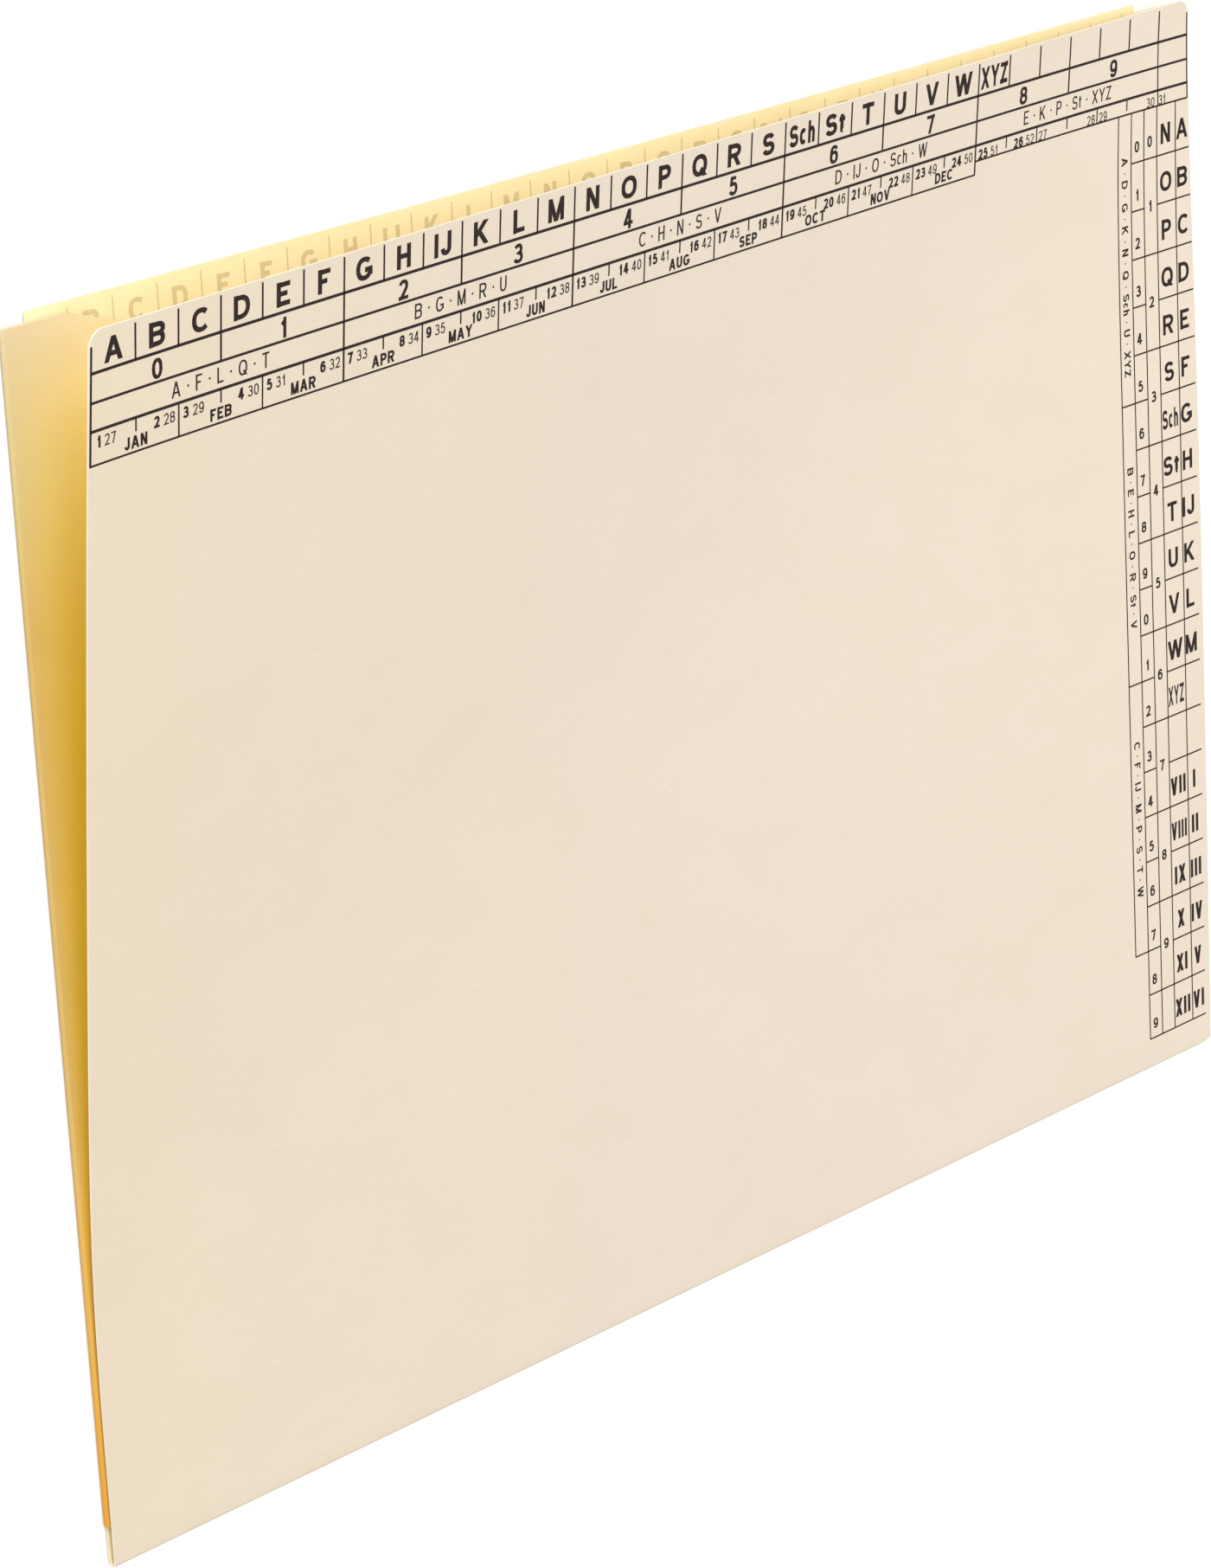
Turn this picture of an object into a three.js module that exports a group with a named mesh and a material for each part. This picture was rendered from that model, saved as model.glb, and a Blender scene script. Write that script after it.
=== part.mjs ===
// Sorting folder: one sheet of thin card with a bottom fold and an inward side flap.
// It lies on its back leaf. X runs along the bottom fold, Y up the leaves, Z off the table.
import * as THREE from 'three';

// Card
const CARD = 0.35;              // thickness of the card
const FOLD_INNER_RADIUS = 0.55; // inside radius of the bottom fold
const FLAP_INNER_RADIUS = 0.22; // inside radius of the side fold

// Back leaf
const BACK_WIDTH = 305.6;       // from the side fold to the right edge
const BACK_HEIGHT = 225.7;      // from the bottom fold to the top of the tab, at the side fold
const BACK_RISE = 1.8;          // its top edge rises by this much towards the right edge
const TAB_DROP = 1.8;           // how far the shoulders lie below the tab
const TAB_INSET_LEFT = 5.1;
const TAB_INSET_RIGHT = 6.7;
const TAB_CORNER = 0.5;         // corner radius of the tab

// Front leaf
const FRONT_OVERHANG = 11;      // how far it stands out past the back leaf's right edge
const FRONT_LEAN_RIGHT = 3.8;   // its right edge leans in by this much at the top
const FRONT_INSET = 0.6;        // its left edge from the outside of the side fold
const FRONT_LEAN_LEFT = 1.9;    // its left edge leans in by this much at the top
const FRONT_RISE = 0.9;         // how much longer it is than the back leaf at the side fold
const FRONT_CORNER = 3.2;       // radius of its two top corners
const OPENING_SLOPE = 0.107;    // slope of the part that stands off the back leaf
const BEND_HEIGHT = 134;        // height of the soft bend at mid width
const BEND_SKEW = 81;           // the bend starts this much lower left, higher right
const BEND_REACH = 155;         // half width over which the skew is reached
const BEND_SOFTNESS = 23.8;

// Side flap, folded inwards at the left edge of the back leaf
const FLAP_WIDTH = 50;
const FLAP_BOTTOM = 7;          // lower end of its fold, above the bottom fold
const FLAP_STRAIGHT = 14;       // its ends run straight this far, then taper
const FLAP_TAPER = 0.32;        // slope of the tapered ends
const FLAP_CORNER = 9;          // radius of its free corners

// How finely the curved sheet is divided
const FRONT_ROWS = 30;
const BACK_ROWS = 12;
const FOLD_STEPS = 8;
const COLUMNS = 24;
const FLAP_COLUMNS = 9;
const CORNER_STEPS = 5;

const foldRadius = FOLD_INNER_RADIUS + CARD / 2;
const flapRadius = FLAP_INNER_RADIUS + CARD / 2;
const backLeft = FLAP_INNER_RADIUS + CARD;
const shoulderHeight = BACK_HEIGHT - TAB_DROP;
const frontHeight = BACK_HEIGHT + FRONT_RISE;
const backZ = CARD / 2;
const frontZ = backZ + 2 * foldRadius;
const flapZ = backZ + 2 * flapRadius;
const halfCard = CARD / 2;

const mix = (a, b, t) => a + (b - a) * t;
const steps = (from, to, count) =>
  Array.from({ length: count + 1 }, (_, i) => mix(from, to, i / count));

// Height of the front leaf's middle surface over its closed position.
function frontLift(x, s) {
  const bend = BEND_HEIGHT + BEND_SKEW * (x - BEND_REACH) / BEND_REACH;
  const soft = (v) => 0.5 * (v + BEND_SOFTNESS * Math.log(Math.cosh((v - bend) / BEND_SOFTNESS)));
  return OPENING_SLOPE * (soft(s) - soft(0));
}

function frontPoint(x, s) {
  const lift = frontLift(x, s);
  return new THREE.Vector3(x, s - 0.5 * OPENING_SLOPE * lift, frontZ + lift);
}

function frontNormal(x, s) {
  const d = 0.5;
  const alongX = frontPoint(x + d, s).sub(frontPoint(x - d, s));
  const alongS = frontPoint(x, s + d).sub(frontPoint(x, s - d));
  return alongX.cross(alongS).normalize();
}

// One body skinned from two faces of the card: each node is a point with its outside normal.
class Skin {
  constructor() {
    this.positions = [];
    this.triangles = [];
  }

  addNode(point, outward) {
    const outer = point.clone().addScaledVector(outward, halfCard);
    const inner = point.clone().addScaledVector(outward, -halfCard);
    this.positions.push(outer.x, outer.y, outer.z, inner.x, inner.y, inner.z);
    return this.positions.length / 6 - 1;
  }

  addTriangle(a, b, c) {
    this.triangles.push([a, b, c]);
  }

  // Nodes run anticlockwise when seen from the outer face.
  addCell(a, b, c, d) {
    this.addTriangle(a, b, c);
    this.addTriangle(a, c, d);
  }

  geometry() {
    const index = [];
    const edges = new Map();
    for (const [a, b, c] of this.triangles) {
      index.push(2 * a, 2 * b, 2 * c);
      index.push(2 * a + 1, 2 * c + 1, 2 * b + 1);
      for (const [p, q] of [[a, b], [b, c], [c, a]]) {
        if (edges.has(`${q},${p}`)) {
          edges.delete(`${q},${p}`);
        } else {
          edges.set(`${p},${q}`, [p, q]);
        }
      }
    }
    for (const [p, q] of edges.values()) {
      index.push(2 * q, 2 * p, 2 * p + 1);
      index.push(2 * q, 2 * p + 1, 2 * q + 1);
    }
    const geometry = new THREE.BufferGeometry();
    geometry.setAttribute('position', new THREE.Float32BufferAttribute(this.positions, 3));
    geometry.setIndex(index);
    geometry.computeVertexNormals();
    return geometry;
  }
}

// Columns fall on the ends of the tab, so the tab grows from the leaf's own top row.
const tabLeft = backLeft + TAB_INSET_LEFT;
const tabRight = BACK_WIDTH - TAB_INSET_RIGHT;
const backColumns = [backLeft, ...steps(tabLeft, tabRight, COLUMNS), BACK_WIDTH];
const shares = backColumns.map((x) => (x - backLeft) / (BACK_WIDTH - backLeft));

function backPoint(x, y) {
  const share = (x - backLeft) / (BACK_WIDTH - backLeft);
  return new THREE.Vector3(x, y * (1 + BACK_RISE * share ** 2 / BACK_HEIGHT), backZ);
}

const frontLeft = FRONT_INSET;
const frontRight = BACK_WIDTH + FRONT_OVERHANG;
const frontLeftAt = (s) => frontLeft + FRONT_LEAN_LEFT * (s / frontHeight) ** 3;
const frontRightAt = (s) => frontRight - FRONT_LEAN_RIGHT * (s / frontHeight) ** 3;

function buildSheet() {
  const skin = new Skin();

  // Front leaf, from its top edge down to the fold.
  const cornerAngles = steps(Math.PI / 2, 0, CORNER_STEPS);
  const frontRows = [];
  for (const angle of cornerAngles) {
    frontRows.push({
      s: frontHeight - FRONT_CORNER * (1 - Math.sin(angle)),
      inset: FRONT_CORNER * (1 - Math.cos(angle)),
    });
  }
  const cornerFoot = frontHeight - FRONT_CORNER;
  for (const s of steps(cornerFoot, 0, FRONT_ROWS).slice(1)) {
    frontRows.push({ s, inset: 0 });
  }
  const rows = frontRows.map(({ s, inset }) => shares.map((share) => {
    const x = mix(frontLeftAt(s) + inset, frontRightAt(s) - inset, share);
    return skin.addNode(frontPoint(x, s), frontNormal(x, s));
  }));

  // Bottom fold: half a turn from the front leaf to the back leaf.
  for (const turn of steps(0, Math.PI, FOLD_STEPS).slice(1, -1)) {
    const outward = new THREE.Vector3(0, -Math.sin(turn), Math.cos(turn));
    rows.push(shares.map((share, i) => {
      const x = mix(mix(frontLeft, frontRight, share), backColumns[i], turn / Math.PI);
      const centre = new THREE.Vector3(x, 0, backZ + foldRadius);
      return skin.addNode(centre.addScaledVector(outward, foldRadius), outward);
    }));
  }

  // Back leaf, from the fold up to its shoulders.
  const down = new THREE.Vector3(0, 0, -1);
  const backRows = [0, ...steps(FLAP_BOTTOM, shoulderHeight, BACK_ROWS)];
  const flapEdge = [];
  for (const y of backRows) {
    const row = backColumns.map((x) => skin.addNode(backPoint(x, y), down));
    rows.push(row);
    if (y >= FLAP_BOTTOM) {
      flapEdge.push({ y, node: row[0] });
    }
  }
  for (let r = 1; r < rows.length; r++) {
    for (let i = 1; i < shares.length; i++) {
      skin.addCell(rows[r - 1][i - 1], rows[r][i - 1], rows[r][i], rows[r - 1][i]);
    }
  }

  // Tab on the back leaf, with rounded corners.
  let lower = rows[rows.length - 1].slice(1, -1);
  const tabInner = backColumns.slice(1, -1);
  for (const angle of [...cornerAngles].reverse()) {
    const inset = TAB_CORNER * (1 - Math.cos(angle));
    const y = BACK_HEIGHT - TAB_CORNER * (1 - Math.sin(angle));
    const upper = tabInner.map((x) => {
      const share = (x - tabLeft) / (tabRight - tabLeft);
      return skin.addNode(backPoint(mix(tabLeft + inset, tabRight - inset, share), y), down);
    });
    for (let i = 1; i < upper.length; i++) {
      skin.addCell(lower[i - 1], upper[i - 1], upper[i], lower[i]);
    }
    lower = upper;
  }

  // Side fold and flap. Its rows start from the back leaf's left edge.
  const flapTop = shoulderHeight;
  const endInset = (across) => {
    const taper = Math.max(0, across - FLAP_STRAIGHT) * FLAP_TAPER;
    const past = Math.max(0, across - (FLAP_WIDTH - FLAP_CORNER));
    return taper + FLAP_CORNER - Math.sqrt(Math.max(0, FLAP_CORNER ** 2 - past ** 2));
  };
  const acrossFlat = [
    ...steps(backLeft, FLAP_WIDTH - FLAP_CORNER, FLAP_COLUMNS - CORNER_STEPS),
    ...cornerAngles.slice(1).map((a) => FLAP_WIDTH - FLAP_CORNER + FLAP_CORNER * Math.cos(a)),
  ];
  const alongFlap = (y, across) => mix(
    FLAP_BOTTOM + endInset(across),
    flapTop - endInset(across),
    (y - FLAP_BOTTOM) / (flapTop - FLAP_BOTTOM),
  );
  let previous = flapEdge.map(({ node }) => node);
  const join = (next) => {
    for (let r = 1; r < next.length; r++) {
      skin.addCell(previous[r - 1], next[r - 1], next[r], previous[r]);
    }
    previous = next;
  };
  for (const turn of steps(0, Math.PI, FOLD_STEPS).slice(1, -1)) {
    const outward = new THREE.Vector3(-Math.sin(turn), 0, -Math.cos(turn));
    join(flapEdge.map(({ y }) => {
      const centre = new THREE.Vector3(backLeft, y, backZ + flapRadius);
      return skin.addNode(centre.addScaledVector(outward, flapRadius), outward);
    }));
  }
  const up = new THREE.Vector3(0, 0, 1);
  for (const x of acrossFlat) {
    join(flapEdge.map(({ y }) => skin.addNode(new THREE.Vector3(x, alongFlap(y, x), flapZ), up)));
  }
  return skin.geometry();
}

// The row's origin is the middle of the footprint, on the table.
const sheetGeometry = buildSheet();
sheetGeometry.computeBoundingBox();
const footprint = sheetGeometry.boundingBox.getCenter(new THREE.Vector3());
sheetGeometry.translate(-footprint.x, -footprint.y, -sheetGeometry.boundingBox.min.z);

const sheet = new THREE.Mesh(
  sheetGeometry,
  new THREE.MeshStandardMaterial({ color: 0xecdfcb, roughness: 0.85, metalness: 0 }),
);
sheet.name = 'folder_sheet';

const part = new THREE.Group();
part.name = 'sorting_folder';
part.add(sheet);

export default part;
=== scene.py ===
"""Looks of a sorting folder: one folded sheet of card with printed registers, lying slightly open.

Lengths in the dataclasses are millimetres in the sheet's own axes: x along the bottom fold from
the side fold, s up the card from the bottom fold. Meshes are made in metres in the row frame.
"""

import logging
import math
from dataclasses import dataclass, field
from enum import Enum
from typing import Callable, Iterable, Sequence

import bpy
import numpy as np
from mathutils import Matrix, Vector


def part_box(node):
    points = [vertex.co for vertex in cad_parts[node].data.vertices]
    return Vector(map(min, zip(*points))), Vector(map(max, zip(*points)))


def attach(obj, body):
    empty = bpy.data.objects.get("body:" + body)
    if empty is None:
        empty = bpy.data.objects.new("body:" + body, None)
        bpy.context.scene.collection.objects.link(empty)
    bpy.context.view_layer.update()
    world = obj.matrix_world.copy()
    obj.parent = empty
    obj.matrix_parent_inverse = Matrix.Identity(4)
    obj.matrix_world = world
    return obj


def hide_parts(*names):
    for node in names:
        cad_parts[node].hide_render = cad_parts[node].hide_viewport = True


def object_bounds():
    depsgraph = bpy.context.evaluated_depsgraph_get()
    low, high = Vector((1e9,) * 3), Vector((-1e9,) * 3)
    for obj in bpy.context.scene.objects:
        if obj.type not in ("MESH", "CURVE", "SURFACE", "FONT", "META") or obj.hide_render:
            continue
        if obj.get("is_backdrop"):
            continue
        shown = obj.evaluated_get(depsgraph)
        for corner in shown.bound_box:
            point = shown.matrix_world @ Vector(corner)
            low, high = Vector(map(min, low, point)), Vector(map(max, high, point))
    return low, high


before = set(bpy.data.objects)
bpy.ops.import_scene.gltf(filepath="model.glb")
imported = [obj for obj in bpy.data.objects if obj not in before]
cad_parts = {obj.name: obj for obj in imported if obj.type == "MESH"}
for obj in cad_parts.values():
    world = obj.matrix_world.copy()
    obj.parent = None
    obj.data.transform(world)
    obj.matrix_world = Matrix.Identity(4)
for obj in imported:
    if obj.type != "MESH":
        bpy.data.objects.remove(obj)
START_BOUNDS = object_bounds()

LOG = logging.getLogger("sorting_folder")
MM = 0.001
UP, DOWN = (0.0, 0.0, 1.0), (0.0, 0.0, -1.0)

Point2 = tuple[float, float]
Point3 = tuple[float, float, float]
Face = tuple[int, ...]


# ---- sizes


@dataclass(frozen=True)
class SheetSize:
    """Sizes of the folded sheet, in millimetres, as in the solid it stands for.

    The last three are of the print alone: how far the top register sags at its two ends, and the
    lengths along the leaf over which that fades.
    """

    card: float = 0.35
    fold_inner_radius: float = 0.55
    flap_inner_radius: float = 0.22
    back_width: float = 305.6
    back_height: float = 225.7
    back_rise: float = 1.8
    tab_drop: float = 1.8
    tab_inset_left: float = 5.1
    tab_inset_right: float = 6.7
    tab_corner: float = 0.5
    front_overhang: float = 11.0
    front_lean_right: float = 3.8
    front_rise: float = 0.9
    front_inset: float = 0.6
    front_lean_left: float = 1.9
    front_corner: float = 3.2
    opening_slope: float = 0.107
    bend_height: float = 134.0
    bend_skew: float = 81.0
    bend_reach: float = 155.0
    bend_softness: float = 23.8
    flap_width: float = 50.0
    flap_bottom: float = 7.0
    flap_straight: float = 14.0
    flap_taper: float = 0.32
    flap_corner: float = 9.0
    sag: float = 0.55
    sag_reach_left: float = 25.0
    sag_reach_right: float = 45.0

    @property
    def fold_radius(self) -> float:
        """Radius of the bottom fold at the card's middle surface."""
        return self.fold_inner_radius + self.card / 2

    @property
    def flap_radius(self) -> float:
        """Radius of the side fold at the card's middle surface."""
        return self.flap_inner_radius + self.card / 2

    @property
    def back_left(self) -> float:
        """Where the back leaf's flat part starts."""
        return self.flap_inner_radius + self.card

    @property
    def back_z(self) -> float:
        """Height of the back leaf's middle surface."""
        return self.card / 2

    @property
    def front_z(self) -> float:
        """Height of the front leaf's middle surface at the fold."""
        return self.back_z + 2 * self.fold_radius

    @property
    def flap_z(self) -> float:
        """Height of the flap's middle surface."""
        return self.back_z + 2 * self.flap_radius

    @property
    def front_height(self) -> float:
        """Length of the front leaf along the card."""
        return self.back_height + self.front_rise

    @property
    def front_right(self) -> float:
        """The front leaf's right edge at the fold."""
        return self.back_width + self.front_overhang

    @property
    def tab_left(self) -> float:
        """The tab's left end."""
        return self.back_left + self.tab_inset_left

    @property
    def tab_right(self) -> float:
        """The tab's right end."""
        return self.back_width - self.tab_inset_right

    def front_right_at(self, s: float) -> float:
        """The front leaf's right edge at a height on the leaf."""
        return self.front_right - self.front_lean_right * (s / self.front_height) ** 3

    def front_left_at(self, s: float) -> float:
        """The front leaf's left edge at a height on the leaf."""
        return self.front_inset + self.front_lean_left * (s / self.front_height) ** 3

    @property
    def shoulder(self) -> float:
        """Height of the back leaf's shoulders beside its tab."""
        return self.back_height - self.tab_drop


def joined(*axes: np.ndarray | float) -> np.ndarray:
    """Joins coordinates, each an array or one number for all, to points."""
    return np.stack(np.broadcast_arrays(*axes), axis=-1)


class LeafSurface:
    """Maps a place on a leaf to a point in the row frame."""

    def __init__(self, size: SheetSize) -> None:
        self.size = size
        low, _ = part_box("folder_sheet")
        fold_reach = size.fold_radius + size.card / 2
        self.origin = np.array([low.x / MM, low.y / MM + fold_reach, low.z / MM])

    def to_row(self, points: np.ndarray) -> np.ndarray:
        """Turns sheet millimetres into metres of the row frame.

        Args:
            points: an (n, 3) array in the sheet's axes.

        Returns:
            The same points in metres.
        """
        return (points + self.origin) * MM

    def lift(self, x: np.ndarray, s: np.ndarray) -> np.ndarray:
        """Height of the front leaf over its closed position."""
        z = self.size
        bend = z.bend_height + z.bend_skew * (x - z.bend_reach) / z.bend_reach

        def soft(v: np.ndarray) -> np.ndarray:
            return 0.5 * (v + z.bend_softness * np.log(np.cosh((v - bend) / z.bend_softness)))

        return z.opening_slope * (soft(s) - soft(0 * s))

    def _front_middle(self, x: np.ndarray, s: np.ndarray) -> np.ndarray:
        lift = self.lift(x, s)
        return joined(x, s - 0.5 * self.size.opening_slope * lift, self.size.front_z + lift)

    def front(self, x: np.ndarray, s: np.ndarray, h: np.ndarray) -> np.ndarray:
        """A point h millimetres off the front leaf's middle surface, outwards positive."""
        x, s, h = (np.asarray(v, float) for v in (x, s, h))
        step = 0.5
        along_x = self._front_middle(x + step, s) - self._front_middle(x - step, s)
        along_s = self._front_middle(x, s + step) - self._front_middle(x, s - step)
        normal = np.cross(along_x, along_s)
        normal /= np.linalg.norm(normal, axis=-1, keepdims=True)
        return self._front_middle(x, s) + normal * h[..., None]

    def top_print(self, x: np.ndarray, s: np.ndarray, h: np.ndarray) -> np.ndarray:
        """The front leaf where its top register lies: the print sags a little at both ends."""
        z = self.size
        left = np.exp(-x / z.sag_reach_left)
        right = np.exp((x - z.front_right) / z.sag_reach_right)
        return self.front(x, s - z.sag * (left + right), h)

    def back(self, x: np.ndarray, s: np.ndarray, h: np.ndarray) -> np.ndarray:
        """A point h millimetres over the back leaf's middle surface, on its inside."""
        z = self.size
        share = (x - z.back_left) / (z.back_width - z.back_left)
        return joined(x, s * (1 + z.back_rise * share**2 / z.back_height), z.back_z + h)


# ---- meshes


class MeshParts:
    """Collects points and faces of one mesh."""

    def __init__(self) -> None:
        self.points: list[np.ndarray] = []
        self.faces: list[Face] = []
        self.count = 0

    def add(self, points: np.ndarray, faces: Iterable[Face]) -> None:
        """Adds a closed shell.

        Args:
            points: an (n, 3) array.
            faces: faces as indices into points.
        """
        base = self.count
        self.points.append(np.asarray(points, float))
        self.faces.extend(tuple(base + i for i in face) for face in faces)
        self.count += len(points)

    def mapped(self, place: Callable[[np.ndarray], np.ndarray]) -> tuple[np.ndarray, list[Face]]:
        """Returns the points moved by place, and the faces."""
        return place(np.concatenate(self.points)), self.faces


def linked(name: str, data: bpy.types.ID) -> bpy.types.Object:
    """Makes an object of its data and links it to the scene."""
    obj = bpy.data.objects.new(name, data)
    bpy.context.scene.collection.objects.link(obj)
    return obj


def mesh_object(name: str, points: np.ndarray, faces: Sequence[Face]) -> bpy.types.Object:
    """Makes a mesh object with its origin at the row frame's origin."""
    mesh = bpy.data.meshes.new(name)
    mesh.from_pydata([tuple(p) for p in points], [], list(faces))
    mesh.validate()
    mesh.update()
    return linked(name, mesh)


# ---- nodes


Colour = Point3
Tints = tuple[tuple[float, Colour], ...]
Socket = bpy.types.NodeSocket


class Graph:
    """Adds nodes to a tree and feeds their inputs."""

    def __init__(self, tree: bpy.types.NodeTree) -> None:
        self.tree = tree

    def feed(self, node: bpy.types.Node, given: dict) -> None:
        """Links the sockets that are given to a node's inputs, and sets the plain values."""
        for key, value in given.items():
            if isinstance(value, Socket):
                self.tree.links.new(value, node.inputs[key])
            else:
                node.inputs[key].default_value = value

    def add(self, kind: str, given: dict, out: int | str = 0, **settings: object) -> Socket:
        """Adds a node.

        Args:
            kind: the node's type.
            given: sockets or plain values, by the name or number of the input.
            out: name or number of the output to go on with.
            settings: what the node itself is set to.

        Returns:
            That output.
        """
        node = self.tree.nodes.new(kind)
        for key, value in settings.items():
            setattr(node, key, value)
        self.feed(node, given)
        return node.outputs[out]

    def ramp(self, value: Socket, stops: Tints) -> Socket:
        """A colour ramp whose stops lie between 0 and 1."""
        node = self.tree.nodes.new("ShaderNodeValToRGB")
        elements = node.color_ramp.elements
        for _ in stops[2:]:
            elements.new(0.5)
        for element, (place, colour) in zip(elements, stops):
            element.position = place
            element.color = (*colour, 1.0)
        self.feed(node, {"Fac": value})
        return node.outputs["Color"]

    def share(self, value: Socket, low: float, high: float, least: float = 0.0) -> Socket:
        """How far a value has come from low to high, from least to 1."""
        given = {"Value": value, "From Min": low, "From Max": high, "To Min": least}
        return self.add("ShaderNodeMapRange", given)

    def ladder(self, value: Socket, tints: Tints) -> Socket:
        """Tints at places along one axis, as a soft ramp."""
        low, high = tints[0][0], tints[-1][0]
        stops = tuple(((place - low) / (high - low), tint) for place, tint in tints)
        return self.ramp(self.share(value, low, high), stops)

    def mixed(self, share: Socket | None, first: Socket, second: Socket | tuple) -> Socket:
        """Goes from the first colour to the second by share, or multiplies them without one."""
        blend = "MIX" if share else "MULTIPLY"
        given = {0: share or 1.0, 6: first, 7: second}
        return self.add("ShaderNodeMix", given, 2, data_type="RGBA", blend_type=blend)


def blank_material(name: str) -> tuple[bpy.types.Material, Graph, bpy.types.Node]:
    """Returns a new material, its graph and its shader."""
    material = bpy.data.materials.new(name)
    material.use_nodes = True
    return material, Graph(material.node_tree), material.node_tree.nodes["Principled BSDF"]


# ---- finishes


@dataclass(frozen=True)
class CardFinish:
    """Uncoated card with a faint cloud of fibres. Its colours are linear.

    Attributes:
        light: colour of most of the surface.
        dark: colour of the denser fibres.
        fleck: colour of the few loose fibres.
        up_leaf: places up the leaf in metres, each with a tint that multiplies the card's colour;
            used as painted light, the bounced yellow light and shade between the leaves.
        across_leaf: the same across the leaf; used as painted shade, darker and a little yellower
            towards the side fold.
        rim: painted shade, as tints up the leaf beside the side fold, where no leaf throws light
            back at it.
        rim_reach: where the rim's tint is full and where it has faded out, in metres.
        rim_taper: heights in metres between which the rim widens from its narrow share.
        rim_narrow: the rim's width at the lower height, as a share of its full width.
        fibre_scale: how many fibres there are to a metre along each axis.
        loose_scale: the same for the loose fibres.
        cloud_scale: the same for the soft clouds.
        tone_span: strengths of fibre and cloud between which dark goes over to light.
        loose_span: strengths between which a loose fibre begins to show and shows fully.
        bump: strength of the fibre relief, whose depth is in metres.
    """

    name: str
    light: Colour
    dark: Colour
    fleck: Colour
    up_leaf: Tints = ()
    across_leaf: Tints = ()
    rim: Tints = ()
    rim_reach: Point2 = (-0.1583, -0.1383)
    rim_taper: Point2 = (-0.05, 0.113)
    rim_narrow: float = 0.13
    fibre_scale: Point3 = (260.0, 2200.0, 900.0)
    loose_scale: Point3 = (330.0, 2600.0, 700.0)
    cloud_scale: Point3 = (40.0, 60.0, 50.0)
    tone_span: Point2 = (0.10, 0.34)
    loose_span: Point2 = (0.70, 0.78)
    roughness: float = 0.82
    shine: float = 0.25
    bump: float = 0.05
    bump_depth: float = 0.0001

    def build(self) -> bpy.types.Material:
        """Builds the procedural material on Object coordinates."""
        material, graph, shader = blank_material(self.name)
        place = graph.add("ShaderNodeTexCoord", {}, "Object")

        def noise(scale: Sequence[float], detail: float) -> Socket:
            vector = graph.add("ShaderNodeMapping", {"Vector": place, "Scale": scale})
            given = {"Vector": vector, "Scale": 1.0, "Detail": detail, "Roughness": 0.6}
            return graph.add("ShaderNodeTexNoise", given, "Fac")

        fibres, clouds = noise(self.fibre_scale, 4.0), noise(self.cloud_scale, 2.0)
        both = graph.add("ShaderNodeMath", {0: fibres, 1: clouds}, operation="MULTIPLY")
        colour = graph.ramp(both, tuple(zip(self.tone_span, (self.dark, self.light))))
        loose = graph.share(noise(self.loose_scale, 1.0), *self.loose_span)
        colour = graph.mixed(loose, colour, (*self.fleck, 1.0))
        x, y = (graph.add("ShaderNodeSeparateXYZ", {"Vector": place}, axis) for axis in "XY")
        # Painted shade across the leaf, where a finish has it.
        if self.across_leaf:
            colour = graph.mixed(None, colour, graph.ladder(x, self.across_leaf))
        # Painted light up the leaf: bounced yellow light and shade.
        if self.up_leaf:
            tint = graph.ladder(y, self.up_leaf)
            # Painted shade beside the side fold is mixed in, narrow low down and wider higher up.
            if self.rim:
                way = graph.share(x, *self.rim_reach)
                width = graph.share(y, *self.rim_taper, self.rim_narrow)
                given = {0: way, 1: width}
                away = graph.add("ShaderNodeMath", given, operation="DIVIDE", use_clamp=True)
                tint = graph.mixed(away, graph.ladder(y, self.rim), tint)
            colour = graph.mixed(None, colour, tint)
        given = {"Height": fibres, "Strength": self.bump, "Distance": self.bump_depth}
        relief = graph.add("ShaderNodeBump", given)
        graph.feed(shader, {"Base Color": colour, "Normal": relief})
        graph.feed(shader, {"Roughness": self.roughness, "Specular IOR Level": self.shine})
        return material


@dataclass(frozen=True)
class InkFinish:
    """Printing ink that lets a little of the card through. Its colours are linear.

    Attributes:
        full: colour where the ink is dense.
        thin: colour where it is thin.
        speckle: how many thin spots there are to a metre.
        span: strengths of a spot between which full goes over to thin.
    """

    name: str
    full: Colour
    thin: Colour
    speckle: float = 1400.0
    span: Point2 = (0.55, 0.80)
    roughness: float = 0.6
    shine: float = 0.15

    def build(self) -> bpy.types.Material:
        """Builds the procedural material on Object coordinates."""
        material, graph, shader = blank_material(self.name)
        place = graph.add("ShaderNodeTexCoord", {}, "Object")
        given = {"Vector": place, "Scale": self.speckle, "Detail": 2.0}
        spots = graph.add("ShaderNodeTexNoise", given, "Fac")
        tone = graph.ramp(spots, tuple(zip(self.span, (self.full, self.thin))))
        graph.feed(shader, {"Base Color": tone})
        graph.feed(shader, {"Roughness": self.roughness, "Specular IOR Level": self.shine})
        return material


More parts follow.
